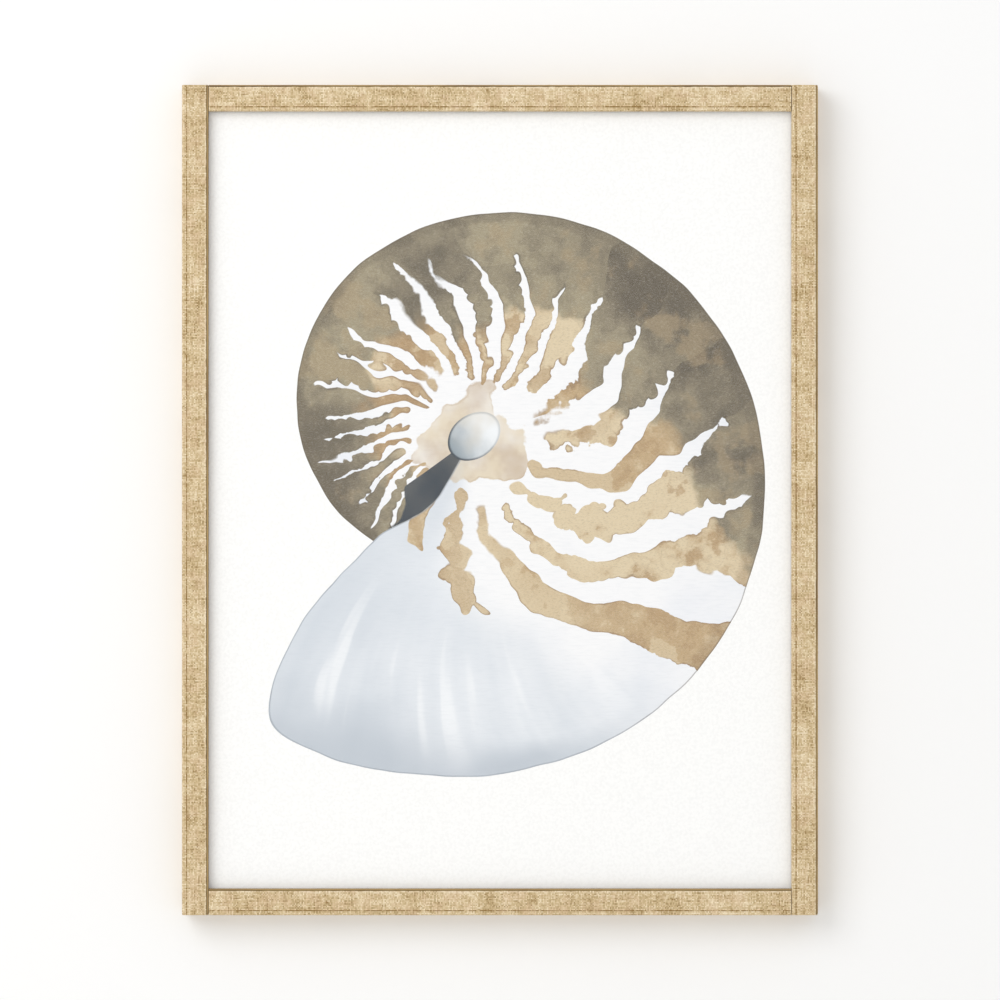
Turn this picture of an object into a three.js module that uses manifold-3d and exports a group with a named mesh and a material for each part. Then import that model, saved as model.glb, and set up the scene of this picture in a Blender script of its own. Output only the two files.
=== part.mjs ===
import * as THREE from 'three';
import { mergeVertices } from 'three/addons/utils/BufferGeometryUtils.js';
import Module from 'manifold-3d';

// A framed print that hangs upright on a wall, in millimetres.
// +X is to the right, +Y goes into the wall and +Z is up.
// The origin is the point where the nail that carries the frame leaves the wall.

const wasm = await Module();
wasm.setup();

// The picture opening and the frame round it
const openingWidth = 457.2;
const openingHeight = 609.6;
const faceWidth = 20.6;
const frameDepth = 25;
const outerWidth = openingWidth + 2 * faceWidth;
const outerHeight = openingHeight + 2 * faceWidth;

// The rabbet behind the front lip, which holds the glazing, print and boards
const rabbetWidth = 6;
const lipThickness = 5;
const rabbetWall = faceWidth - rabbetWidth;

// Touching pieces stay this far apart, and a cutter passes a face by cutterOvershoot
const gap = 0.3;
const cutterOvershoot = 1;

// The linen glued over each batten, and the brown stained edge that it leaves bare
const linenThickness = 0.7;
const linenCover = linenThickness + gap;
const foldRadius = 1;
const foldSteps = 3;
const stainedEdge = 1.3;
const stainedSetback = 0.2;

// The dowels across each corner joint
const dowelRadius = 2.5;
const dowelChamfer = 0.5;
const dowelInRail = 18.5;
const dowelInStile = 9.5;
const dowelFromEdge = 7.8;
const dowelDepths = [9.5, 18.5];
const roundSides = 24;

// The stack inside the rabbet, from the front
const stackClearance = 1;
const glazingThickness = 2;
const printThickness = 0.4;
const mountBoardThickness = 2;
const backingThickness = 3;
const glazingFront = lipThickness + gap;
const printFront = glazingFront + glazingThickness + gap;
const mountBoardFront = printFront + printThickness + gap;
const backingFront = mountBoardFront + mountBoardThickness + gap;
const pointFront = backingFront + backingThickness + gap;

// The flat steel points driven into the rabbet wall
const pointThickness = 0.5;
const pointWidth = 8;
const pointDriven = 6;
const pointShown = 9.5;
const pointTipLength = 3;
const stilePointPlaces = [-240, -80, 80, 240];
const railPointPlaces = [-160, 0, 160];

// The sawtooth hanger and its nails
const hangerLength = 60;
const hangerWidth = 11;
const hangerThickness = 0.8;
const hangerRaise = 2;
const hangerRaisedHalf = 16.5;
const hangerRampLength = 2.5;
const hangerFromTop = 1.5;
const toothDepth = 1.8;
const teethEachSide = 4;
const nailPlaces = [-25, 25];
const nailShankRadius = 0.8;
const nailHeadRadius = 2.1;
const nailHeadThickness = 0.7;
const nailLength = 10;
const nailTipLength = 2;
const nailFromTop = hangerFromTop + hangerWidth / 2;
const nailHeadSeat = frameDepth + hangerThickness + 2 * gap;

// The rubber bumpers, which keep the wood this far from the wall
const bumperReach = 3.5;
const bumperRadius = 5;
const bumperRounding = 1.4;
const bumperRoundSteps = 4;
const bumperFromEnd = 14;

const finishes = {
  wood: { color: 0x8a6d41, roughness: 0.6, metalness: 0 },
  linen: { color: 0xd2bb94, roughness: 0.95, metalness: 0 },
  dowel: { color: 0xc9a877, roughness: 0.7, metalness: 0 },
  glazing: { color: 0xeef3f2, roughness: 0.05, metalness: 0, transparent: true, opacity: 0.25 },
  paper: { color: 0xfaf9f6, roughness: 0.95, metalness: 0 },
  mountBoard: { color: 0xece7db, roughness: 0.95, metalness: 0 },
  hardboard: { color: 0x7a5434, roughness: 0.75, metalness: 0 },
  steel: { color: 0xa9abad, roughness: 0.35, metalness: 1 },
  brassedSteel: { color: 0xc2a35a, roughness: 0.35, metalness: 1 },
  rubber: { color: 0x2b2a29, roughness: 0.8, metalness: 0 },
};

function piece(name, geometry, finish) {
  const mesh = new THREE.Mesh(geometry, new THREE.MeshStandardMaterial(finish));
  mesh.name = name;
  return mesh;
}

// A closed geometry as a solid that can be joined and cut
function solidFrom(geometry) {
  geometry.deleteAttribute('normal');
  geometry.deleteAttribute('uv');
  const merged = mergeVertices(geometry);
  const vertProperties = new Float32Array(merged.attributes.position.array);
  const triVerts = new Uint32Array(merged.index.array);
  return new wasm.Manifold(new wasm.Mesh({ numProp: 3, vertProperties, triVerts }));
}

function geometryFrom(solid) {
  const mesh = solid.getMesh();
  const geometry = new THREE.BufferGeometry();
  geometry.setAttribute('position', new THREE.BufferAttribute(mesh.vertProperties, 3));
  geometry.setIndex(new THREE.BufferAttribute(mesh.triVerts, 1));
  geometry.computeVertexNormals();
  return geometry;
}

function cutWith(geometry, cutters) {
  return cutters.reduce((left, cutter) => left.subtract(solidFrom(cutter)), solidFrom(geometry));
}

// A box between two opposite corners
function blockBetween(low, high) {
  const size = high.map((value, axis) => value - low[axis]);
  const box = new THREE.BoxGeometry(...size);
  return box.translate(...low.map((value, axis) => value + size[axis] / 2));
}

// Each batten is drawn in a frame of its own: x runs in from the outer edge of the picture frame,
// y runs back from the front of the linen, and z runs along the batten from its middle.

function toPoints(pairs) {
  return pairs.map(([x, y]) => new THREE.Vector2(x, y));
}

// A cross-section run along the batten
function runAlong(points, start, end) {
  const options = { depth: end - start, bevelEnabled: false };
  return new THREE.ExtrudeGeometry(new THREE.Shape(points), options).translate(0, 0, start);
}

// Linen folded over a front edge at x = 0: one leg lies on the face and one on the side
function foldedLinen(faceReach, sideReach) {
  const strip = new THREE.Shape();
  strip.moveTo(0, sideReach);
  strip.lineTo(0, foldRadius);
  strip.absarc(foldRadius, foldRadius, foldRadius, Math.PI, 1.5 * Math.PI, false);
  strip.lineTo(faceReach, 0);
  strip.lineTo(faceReach, linenThickness);
  strip.lineTo(foldRadius, linenThickness);
  strip.absarc(foldRadius, foldRadius, foldRadius - linenThickness, 1.5 * Math.PI, Math.PI, true);
  strip.lineTo(linenThickness, sideReach);
  return strip.getPoints(foldSteps);
}

// The same section folded over the edge of the picture opening instead
function mirroredToOpening(points) {
  return points.map((point) => new THREE.Vector2(faceWidth - point.x, point.y));
}

// The outline of a whole batten with its linen, both front edges rounded
function wholeSection() {
  const section = new THREE.Shape();
  section.moveTo(0, frameDepth);
  section.lineTo(0, foldRadius);
  section.absarc(foldRadius, foldRadius, foldRadius, Math.PI, 1.5 * Math.PI, false);
  section.lineTo(faceWidth - foldRadius, 0);
  section.absarc(faceWidth - foldRadius, foldRadius, foldRadius, 1.5 * Math.PI, 2 * Math.PI, false);
  section.lineTo(faceWidth, lipThickness);
  section.lineTo(rabbetWall, lipThickness);
  section.lineTo(rabbetWall, frameDepth);
  return section.getPoints(foldSteps);
}

// Wood whose stained edge shows at the picture opening
const woodStainedInside = toPoints([
  [linenCover, linenCover],
  [faceWidth - stainedEdge, linenCover],
  [faceWidth - stainedEdge, stainedSetback],
  [faceWidth, stainedSetback],
  [faceWidth, lipThickness],
  [rabbetWall, lipThickness],
  [rabbetWall, frameDepth],
  [linenCover, frameDepth],
]);

// Wood whose stained edge shows on the outer side
const woodStainedOutside = toPoints([
  [stainedSetback, stainedSetback],
  [stainedEdge, stainedSetback],
  [stainedEdge, linenCover],
  [faceWidth - linenCover, linenCover],
  [faceWidth - linenCover, lipThickness],
  [rabbetWall, lipThickness],
  [rabbetWall, frameDepth],
  [linenCover, frameDepth],
  [linenCover, stainedEdge],
  [stainedSetback, stainedEdge],
]);

const faceLinenReach = faceWidth - stainedEdge - gap;
const linenOverOuterSide = foldedLinen(faceLinenReach, frameDepth);
const linenOverOpeningEdge = mirroredToOpening(foldedLinen(faceLinenReach, lipThickness));
const linenOnOuterSide = toPoints([
  [0, stainedEdge + gap],
  [linenThickness, stainedEdge + gap],
  [linenThickness, frameDepth],
  [0, frameDepth],
]);

// The slots that the steel points are driven into
function pointSlots(places) {
  return places.map((place) => blockBetween(
    [rabbetWall - pointDriven - gap, pointFront - gap, place - pointWidth / 2 - gap],
    [rabbetWall + cutterOvershoot, pointFront + pointThickness + gap, place + pointWidth / 2 + gap],
  ));
}

// A flat point with its sharp end in the wood, which lies on the back of the boards
function steelPoint(name, place) {
  const tip = rabbetWall - pointDriven;
  const tail = rabbetWall + pointShown;
  const outline = new THREE.Shape(toPoints([
    [tip, 0],
    [tip + pointTipLength, -pointWidth / 2],
    [tail, -pointWidth / 2],
    [tail, pointWidth / 2],
    [tip + pointTipLength, pointWidth / 2],
  ]));
  const geometry = new THREE.ExtrudeGeometry(outline, { depth: pointThickness, bevelEnabled: false });
  const mesh = piece(name, geometry, finishes.steel);
  mesh.rotation.x = Math.PI / 2;
  mesh.position.set(0, pointFront + pointThickness, place);
  return mesh;
}

function steelPoints(name, places) {
  return places.map((place, index) => steelPoint(`${name}_point_${index + 1}`, place));
}

// A stile's dowel bores run in x, from the rabbet wall towards the outer side
function stileBores() {
  const start = rabbetWall - dowelInStile - gap;
  const length = rabbetWall + cutterOvershoot - start;
  const bores = [];
  for (const end of [-1, 1]) {
    for (const depth of dowelDepths) {
      const bore = new THREE.CylinderGeometry(dowelRadius + gap, dowelRadius + gap, length, roundSides);
      bore.rotateZ(Math.PI / 2);
      bore.translate(start + length / 2, depth, end * (outerHeight / 2 - dowelFromEdge));
      bores.push(bore);
    }
  }
  return bores;
}

// A stile runs the full height, and linen closes both its ends
function stileWood(section) {
  const half = outerHeight / 2 - linenCover;
  return geometryFrom(cutWith(
    runAlong(section, -half, half),
    [...stileBores(), ...pointSlots(stilePointPlaces)],
  ));
}

function stileLinen(section) {
  const half = outerHeight / 2;
  const ends = [-half, half - linenThickness].map(
    (start) => solidFrom(runAlong(wholeSection(), start, start + linenThickness)));
  return geometryFrom(solidFrom(runAlong(section, -half, half)).add(ends[0]).add(ends[1]));
}

// A rail's face stops at the stiles, and its back runs on behind their lips to the rabbet walls
const railFaceHalf = openingWidth / 2 - gap;
const railBackHalf = openingWidth / 2 + rabbetWidth - gap;

function railShoulders() {
  return [-1, 1].map((end) => {
    const reach = [railFaceHalf, railBackHalf + cutterOvershoot].map((place) => end * place);
    return blockBetween(
      [-cutterOvershoot, -cutterOvershoot, Math.min(...reach)],
      [faceWidth + cutterOvershoot, lipThickness + gap, Math.max(...reach)],
    );
  });
}

function railBores() {
  const start = openingWidth / 2 + rabbetWidth - dowelInRail - gap;
  const length = railBackHalf + cutterOvershoot - start;
  const bores = [];
  for (const end of [-1, 1]) {
    for (const depth of dowelDepths) {
      const bore = new THREE.CylinderGeometry(dowelRadius + gap, dowelRadius + gap, length, roundSides);
      bore.rotateX(Math.PI / 2);
      bore.translate(dowelFromEdge, depth, end * (start + length / 2));
      bores.push(bore);
    }
  }
  return bores;
}

function hangerNailBores() {
  const start = nailHeadSeat - nailLength - gap;
  const length = frameDepth + cutterOvershoot - start;
  return nailPlaces.map((place) => {
    const bore = new THREE.CylinderGeometry(nailShankRadius + gap, nailShankRadius + gap, length, roundSides);
    return bore.translate(nailFromTop, start + length / 2, place);
  });
}

function railWood(section, extraBores) {
  return geometryFrom(cutWith(
    runAlong(section, -railBackHalf, railBackHalf),
    [...railShoulders(), ...railBores(), ...pointSlots(railPointPlaces), ...extraBores],
  ));
}

function railLinen(section) {
  return geometryFrom(cutWith(runAlong(section, -railBackHalf, railBackHalf), railShoulders()));
}

function railDowels(name) {
  const length = dowelInRail + dowelInStile;
  const profile = toPoints([
    [0, -length / 2],
    [dowelRadius - dowelChamfer, -length / 2],
    [dowelRadius, -length / 2 + dowelChamfer],
    [dowelRadius, length / 2 - dowelChamfer],
    [dowelRadius - dowelChamfer, length / 2],
    [0, length / 2],
  ]);
  const middle = openingWidth / 2 + rabbetWidth + dowelInStile - length / 2;
  const dowels = [];
  for (const end of [-1, 1]) {
    for (const depth of dowelDepths) {
      const number = dowels.length + 1;
      const dowel = piece(`${name}_dowel_${number}`, new THREE.LatheGeometry(profile, roundSides), finishes.dowel);
      dowel.rotation.x = Math.PI / 2;
      dowel.position.set(dowelFromEdge, depth, end * middle);
      dowels.push(dowel);
    }
  }
  return dowels;
}

// A bent steel strip with flat feet, a raised middle and notches along its lower edge
function sawtoothHanger() {
  const foot = hangerRaisedHalf + hangerRampLength;
  const back = gap + hangerThickness;
  const lean = hangerThickness * Math.tan(Math.atan2(hangerRaise, hangerRampLength) / 2);
  const leftHalf = [
    [-hangerRaisedHalf - lean, back + hangerRaise],
    [-foot - lean, back],
    [-hangerLength / 2, back],
    [-hangerLength / 2, gap],
    [-foot, gap],
    [-hangerRaisedHalf, gap + hangerRaise],
  ];
  const rightHalf = leftHalf.map(([x, y]) => [-x, y]).reverse();
  const cutters = [];
  for (let tooth = -teethEachSide; tooth <= teethEachSide; tooth += 1) {
    const notch = new THREE.BoxGeometry(toothDepth * Math.SQRT2, frameDepth, toothDepth * Math.SQRT2);
    cutters.push(notch.rotateY(Math.PI / 4).translate(tooth * 2 * toothDepth, 0, 0));
  }
  for (const place of nailPlaces) {
    const hole = new THREE.CylinderGeometry(nailShankRadius + gap, nailShankRadius + gap, frameDepth, roundSides);
    cutters.push(hole.translate(place, 0, hangerWidth / 2));
  }
  const strip = runAlong(toPoints([...leftHalf, ...rightHalf]), 0, hangerWidth);
  const mesh = piece('sawtooth_hanger', geometryFrom(cutWith(strip, cutters)), finishes.brassedSteel);
  mesh.rotation.y = -Math.PI / 2;
  mesh.position.set(hangerFromTop + hangerWidth, frameDepth, 0);
  return mesh;
}

function hangerNails() {
  const profile = toPoints([
    [0, -nailLength],
    [nailShankRadius, -nailLength + nailTipLength],
    [nailShankRadius, 0],
    [nailHeadRadius, 0],
    [nailHeadRadius, nailHeadThickness],
    [0, nailHeadThickness],
  ]);
  return nailPlaces.map((place, index) => {
    const name = `hanger_nail_${index + 1}`;
    const nail = piece(name, new THREE.LatheGeometry(profile, roundSides), finishes.brassedSteel);
    nail.position.set(nailFromTop, nailHeadSeat, place);
    return nail;
  });
}

// A low rubber button with a rounded rim, stuck to the back of a stile near its lower end
function rubberBumper(name, lowerEnd) {
  const height = bumperReach - gap;
  const profile = [[0, 0], [bumperRadius, 0]];
  for (let step = 0; step <= bumperRoundSteps; step += 1) {
    const angle = (step / bumperRoundSteps) * Math.PI / 2;
    profile.push([
      bumperRadius - bumperRounding * (1 - Math.cos(angle)),
      height - bumperRounding * (1 - Math.sin(angle)),
    ]);
  }
  profile.push([0, height]);
  const bumper = piece(name, new THREE.LatheGeometry(toPoints(profile), roundSides), finishes.rubber);
  bumper.position.set(dowelFromEdge, frameDepth + gap, lowerEnd * (outerHeight / 2 - bumperFromEnd));
  return bumper;
}

// A batten's pieces, turned about the frame's middle to the side where the batten belongs
function battenGroup(turn, middleToEdge, pieces) {
  const batten = new THREE.Group();
  batten.position.x = -middleToEdge;
  batten.add(...pieces);
  const turned = new THREE.Group();
  turned.rotation.y = turn;
  turned.add(batten);
  return turned;
}

function leftStile() {
  return battenGroup(0, outerWidth / 2, [
    piece('left_stile', stileWood(woodStainedInside), finishes.wood),
    piece('left_stile_linen', stileLinen(linenOverOuterSide), finishes.linen),
    ...steelPoints('left_stile', stilePointPlaces),
    rubberBumper('left_bumper', -1),
  ]);
}

function rightStile() {
  const sideHalf = outerHeight / 2 - linenCover;
  return battenGroup(Math.PI, outerWidth / 2, [
    piece('right_stile', stileWood(woodStainedOutside), finishes.wood),
    piece('right_stile_linen', stileLinen(linenOverOpeningEdge), finishes.linen),
    piece('right_stile_side_linen', runAlong(linenOnOuterSide, -sideHalf, sideHalf), finishes.linen),
    ...steelPoints('right_stile', stilePointPlaces),
    rubberBumper('right_bumper', 1),
  ]);
}

function topRail() {
  return battenGroup(Math.PI / 2, outerHeight / 2, [
    piece('top_rail', railWood(woodStainedOutside, hangerNailBores()), finishes.wood),
    piece('top_rail_linen', railLinen(linenOverOpeningEdge), finishes.linen),
    piece('top_rail_side_linen', railLinen(linenOnOuterSide), finishes.linen),
    ...railDowels('top_rail'),
    ...steelPoints('top_rail', railPointPlaces),
    sawtoothHanger(),
    ...hangerNails(),
  ]);
}

function bottomRail() {
  return battenGroup(-Math.PI / 2, outerHeight / 2, [
    piece('bottom_rail', railWood(woodStainedInside, []), finishes.wood),
    piece('bottom_rail_linen', railLinen(linenOverOuterSide), finishes.linen),
    ...railDowels('bottom_rail'),
    ...steelPoints('bottom_rail', railPointPlaces),
  ]);
}

// A flat sheet that fills the rabbet from side to side
function rabbetSheet(name, front, thickness, finish) {
  const halfWidth = openingWidth / 2 + rabbetWidth - stackClearance;
  const halfHeight = openingHeight / 2 + rabbetWidth - stackClearance;
  const sheet = blockBetween([-halfWidth, front, -halfHeight], [halfWidth, front + thickness, halfHeight]);
  return piece(name, sheet, finish);
}

const framedPrint = new THREE.Group();
framedPrint.add(
  leftStile(),
  rightStile(),
  topRail(),
  bottomRail(),
  rabbetSheet('glazing', glazingFront, glazingThickness, finishes.glazing),
  rabbetSheet('print', printFront, printThickness, finishes.paper),
  rabbetSheet('mount_board', mountBoardFront, mountBoardThickness, finishes.mountBoard),
  rabbetSheet('backing_board', backingFront, backingThickness, finishes.hardboard),
);

// The notch in the middle of the hanger is at the origin's height, and the bumpers touch the wall
const notchFromTop = hangerFromTop + hangerWidth - toothDepth;
framedPrint.position.set(0, -frameDepth - bumperReach, notchFromTop - outerHeight / 2);

const model = new THREE.Group();
model.add(framedPrint);

export default model;
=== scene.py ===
import math
import random

import bmesh
import bpy
import numpy
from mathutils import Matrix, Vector


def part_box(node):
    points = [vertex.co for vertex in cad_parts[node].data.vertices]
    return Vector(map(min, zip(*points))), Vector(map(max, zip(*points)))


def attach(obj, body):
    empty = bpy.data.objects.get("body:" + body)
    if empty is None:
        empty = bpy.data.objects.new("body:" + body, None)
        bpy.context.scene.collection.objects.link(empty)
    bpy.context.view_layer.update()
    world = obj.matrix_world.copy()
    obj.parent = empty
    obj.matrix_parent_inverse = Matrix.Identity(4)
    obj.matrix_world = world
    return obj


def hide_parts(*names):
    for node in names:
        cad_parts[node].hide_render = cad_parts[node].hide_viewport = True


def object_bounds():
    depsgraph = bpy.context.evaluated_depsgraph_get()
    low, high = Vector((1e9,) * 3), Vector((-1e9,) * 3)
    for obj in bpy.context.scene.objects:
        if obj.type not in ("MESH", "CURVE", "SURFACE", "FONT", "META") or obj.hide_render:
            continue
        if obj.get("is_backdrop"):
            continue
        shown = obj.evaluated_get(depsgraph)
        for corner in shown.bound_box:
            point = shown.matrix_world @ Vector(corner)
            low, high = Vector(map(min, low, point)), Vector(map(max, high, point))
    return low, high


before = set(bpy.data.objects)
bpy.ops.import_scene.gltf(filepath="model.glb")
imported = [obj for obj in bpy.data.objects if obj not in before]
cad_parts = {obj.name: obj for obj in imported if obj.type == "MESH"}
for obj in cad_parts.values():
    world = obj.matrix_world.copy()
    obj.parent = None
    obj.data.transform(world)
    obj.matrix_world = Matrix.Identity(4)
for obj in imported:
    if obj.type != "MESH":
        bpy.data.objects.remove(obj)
lowCorner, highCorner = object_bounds()

# Sizes that every piece shares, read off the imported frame
frontY = lowCorner.y
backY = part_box("left_stile")[1].y
frameDepth = backY - frontY
middle = Vector((0.0, frontY, (lowCorner.z + highCorner.z) / 2))
outerHalfWidth = highCorner.x
outerHalfHeight = highCorner.z - middle.z
openingHalfWidth = -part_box("left_stile")[1].x
battenWidth = outerHalfWidth - openingHalfWidth
gap = 0.0003
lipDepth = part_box("glazing")[0].y - frontY - gap
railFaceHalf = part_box("top_rail_linen")[1].x
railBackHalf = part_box("top_rail_side_linen")[1].x
rabbetAcross = outerHalfWidth - railBackHalf - gap

print("camera")
cameraSetup = {
    "distance": 4.0,         # from the front of the frame
    "sensor": 36.0,
    "frameShare": 0.636,     # the frame's width as a share of the picture's
}


def makeCamera():
    data = bpy.data.cameras.new("camera")
    data.sensor_width = cameraSetup["sensor"]
    shownWidth = 2 * outerHalfWidth / cameraSetup["frameShare"]
    data.lens = cameraSetup["sensor"] * cameraSetup["distance"] / shownWidth
    data.clip_end = 50
    camera = bpy.data.objects.new("camera", data)
    camera.location = middle - Vector((0, cameraSetup["distance"], 0))
    camera.rotation_euler = (math.radians(90), 0, 0)
    bpy.context.scene.collection.objects.link(camera)
    bpy.context.scene.camera = camera


makeCamera()


# Shader formulas: a Field is a node's output that sums and products can be written with
class Field:
    def __init__(self, socket):
        self.socket = socket

    def __add__(self, other):
        return maths("ADD", self, other)

    def __radd__(self, other):
        return maths("ADD", other, self)

    def __sub__(self, other):
        return maths("SUBTRACT", self, other)

    def __rsub__(self, other):
        return maths("SUBTRACT", other, self)

    def __mul__(self, other):
        return maths("MULTIPLY", self, other)

    def __rmul__(self, other):
        return maths("MULTIPLY", other, self)

    def __truediv__(self, other):
        return maths("DIVIDE", self, other)

    def __abs__(self):
        return maths("ABSOLUTE", self)


def treeOf(*values):
    return next(value.socket.id_data for value in values if isinstance(value, Field))


def plug(socket, value):
    if isinstance(value, Field):
        value.socket.id_data.links.new(value.socket, socket)
    else:
        socket.default_value = value


def maths(operation, *values):
    node = treeOf(*values).nodes.new("ShaderNodeMath")
    node.operation = operation
    for socket, value in zip(node.inputs, values):
        plug(socket, value)
    return Field(node.outputs[0])


def smooth(value, low, high):
    # 0 at low, 1 at high, with a soft start and end
    node = treeOf(value, low, high).nodes.new("ShaderNodeMapRange")
    node.interpolation_type = "SMOOTHSTEP"
    plug(node.inputs["Value"], value)
    plug(node.inputs["From Min"], low)
    plug(node.inputs["From Max"], high)
    return Field(node.outputs["Result"])


def split(vector):
    node = treeOf(vector).nodes.new("ShaderNodeSeparateXYZ")
    plug(node.inputs[0], vector)
    return [Field(output) for output in node.outputs]


def join(*parts):
    node = treeOf(*parts).nodes.new("ShaderNodeCombineXYZ")
    for socket, part in zip(node.inputs, parts):
        plug(socket, part)
    return Field(node.outputs[0])


def noise(vector, scale, detail=2.0, roughness=0.5):
    node = treeOf(vector).nodes.new("ShaderNodeTexNoise")
    plug(node.inputs["Vector"], vector)
    node.inputs["Scale"].default_value = scale
    node.inputs["Detail"].default_value = detail
    node.inputs["Roughness"].default_value = roughness
    return Field(node.outputs["Fac"])


def dice(*parts):
    # one even random number for each set of whole numbers
    node = treeOf(*parts).nodes.new("ShaderNodeTexWhiteNoise")
    node.noise_dimensions = "3D"
    plug(node.inputs["Vector"], join(*parts))
    return Field(node.outputs["Value"])


def paint(red, green, blue):
    # a colour as the eye reads it, from 0 to 255, made linear
    shares = [value / 255 for value in (red, green, blue)]
    return tuple(s / 12.92 if s <= 0.04045 else ((s + 0.055) / 1.055) ** 2.4 for s in shares) + (1.0,)


def blend(share, first, second):
    # the first colour at share 0, and the second at share 1
    node = treeOf(share, first, second).nodes.new("ShaderNodeMix")
    node.data_type = "RGBA"
    node.clamp_factor = True
    plug(node.inputs[0], share)
    plug(node.inputs[6], first)
    plug(node.inputs[7], second)
    return Field(node.outputs[2])


def startMaterial(name, roughness, metallic=0.0):
    material = bpy.data.materials.new(name)
    material.use_nodes = True
    shader = material.node_tree.nodes["Principled BSDF"]
    shader.inputs["Roughness"].default_value = roughness
    shader.inputs["Metallic"].default_value = metallic
    texture = material.node_tree.nodes.new("ShaderNodeTexCoord")
    return material, shader, Field(texture.outputs["Object"])


def stretched(place, x, y, z):
    node = treeOf(place).nodes.new("ShaderNodeMapping")
    plug(node.inputs["Vector"], place)
    node.inputs["Scale"].default_value = (x, y, z)
    return Field(node.outputs[0])


def addBump(shader, height, distance, strength=1.0):
    # height runs from 0 to 1, and distance is what 1 stands for in metres
    node = treeOf(height).nodes.new("ShaderNodeBump")
    node.inputs["Strength"].default_value = strength
    node.inputs["Distance"].default_value = distance
    plug(node.inputs["Height"], height)
    plug(shader.inputs["Normal"], Field(node.outputs[0]))


def finishPiece(name, bm, material, nodes):
    mesh = bpy.data.meshes.new(name)
    bm.to_mesh(mesh)
    bm.free()
    piece = bpy.data.objects.new(name, mesh)
    bpy.context.scene.collection.objects.link(piece)
    piece.data.materials.append(material)
    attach(piece, "root")
    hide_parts(*nodes)
    return piece


print("linen")
linenWrap = {
    "threadSpacing": 0.00105,
    "drift": 0.16,            # how far a thread may lie off its place, as a share of the spacing
    "thickness": 0.0007,
    "foldRadius": 0.001,
    "foldSteps": 4,
    "endRadius": 0.0007,      # where it turns over the end of a stile
    "bareEdge": 0.0016,       # stained wood that it leaves uncovered
    "edgeWander": 0.00022,    # how unevenly it was cut beside the bare edge
    "weaveLift": 0.00009,
    "slubLift": 0.00013,
    "slubShare": 0.14,        # threads that have a thick place
    "pulledAt": 0.0149,       # the sunk thread, from the cut edge
    "pulledDepth": 0.00016,
    "contrast": 1.35,         # between dark and pale threads
    "dark": paint(148, 117, 66),
    "mid": paint(219, 195, 152),
    "light": paint(251, 236, 208),
    "seed": 11,
}


def linenMaterial():
    material, shader, place = startMaterial("linen", 0.92)
    shader.inputs["Specular IOR Level"].default_value = 0.25
    shader.inputs["Sheen Weight"].default_value = 0.12
    shader.inputs["Sheen Roughness"].default_value = 0.5
    node = material.node_tree.nodes.new("ShaderNodeUVMap")
    node.uv_map = "threads"
    across, along, unused = split(Field(node.outputs[0]))
    warp, weft = maths("FLOOR", across), maths("FLOOR", along)
    acrossPart, alongPart = across - warp - 0.5, along - weft - 0.5
    warpOver = maths("FRACT", (warp + weft) * 0.5) * 2

    # Long threads keep a tone of their own, which drifts along them
    warpTone = noise(join(warp * 7.31, along * 0.05, 0.0), 1.0, 2.0)
    weftTone = noise(join(across * 0.06, weft * 5.77, 9.0), 1.0, 2.0)
    overTone = warpTone * warpOver + weftTone * (1 - warpOver)
    cellTone = dice(warp, weft, 3.0)
    patch = noise(place, 70.0, 3.0)
    cloud = noise(place, 17.0, 2.0)

    # Each thread is round where it lies on top, with a hollow between four of them. Besides the bump, the
    # tone carries painted light on the rounded tops and painted shade in the hollows
    overAcross = acrossPart * warpOver + alongPart * (1 - warpOver)
    overAlong = alongPart * warpOver + acrossPart * (1 - warpOver)
    crownShapeAndLight = maths("COSINE", overAcross * 2.7) * (0.72 + 0.28 * maths("COSINE", overAlong * math.pi))
    hollowShapeAndShade = smooth(abs(acrossPart), 0.33, 0.5) * smooth(abs(alongPart), 0.33, 0.5)
    fibre = noise(stretched(place, 900.0, 900.0, 900.0), 1.0, 2.0, 0.6)

    tone = 0.5 + (overTone - 0.5) * 0.95 + (cellTone - 0.5) * 0.34 + (patch - 0.5) * 0.55
    # the rounded thread top adds painted light to the tone here, and the hollow on the next line subtracts
    # painted shade between the threads
    tone = tone + (cloud - 0.5) * 0.35 + (crownShapeAndLight - 0.62) * 0.42 + (fibre - 0.5) * 0.3
    tone = tone - hollowShapeAndShade * 0.35

    # The sunk thread along the face, and the paler turned-in threads beside the bare edge
    pulled = smooth(abs(warp - round(linenWrap["pulledAt"] / linenWrap["threadSpacing"])), 0.6, 0.4)
    dashed = smooth(noise(join(0.0, along * 0.22, 4.0), 1.0, 2.0), 0.38, 0.5)
    tone = tone - pulled * (0.16 + 0.2 * dashed) + smooth(across, 2.2, 0.6) * 0.12

    tone = 0.5 + (tone - 0.5) * linenWrap["contrast"]
    lower = blend(smooth(tone, 0.0, 0.5), linenWrap["dark"], linenWrap["mid"])
    colour = blend(smooth(tone, 0.5, 1.05), lower, linenWrap["light"])
    rosy = smooth(noise(place, 120.0, 1.0), 0.45, 0.7) * 0.25
    colour = blend(rosy, colour, paint(222, 190, 158))
    plug(shader.inputs["Base Color"], colour)
    plug(shader.inputs["Roughness"], 0.84 + 0.12 * fibre)
    addBump(shader, crownShapeAndLight * 0.7 + fibre * 0.2 - hollowShapeAndShade * 0.3, 0.00035, 0.8)
    return material


def battenAxes(side):
    # where the batten's outer front edge is, which way is inwards from it, and which way it runs
    across = {
        "left": Vector((1, 0, 0)),
        "right": Vector((-1, 0, 0)),
        "top": Vector((0, 0, -1)),
        "bottom": Vector((0, 0, 1)),
    }[side]
    upright = side in ("left", "right")
    start = middle - across * (outerHalfWidth if upright else outerHalfHeight)
    return start, across, Vector((0, 0, 1)) if upright else Vector((1, 0, 0))


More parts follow.
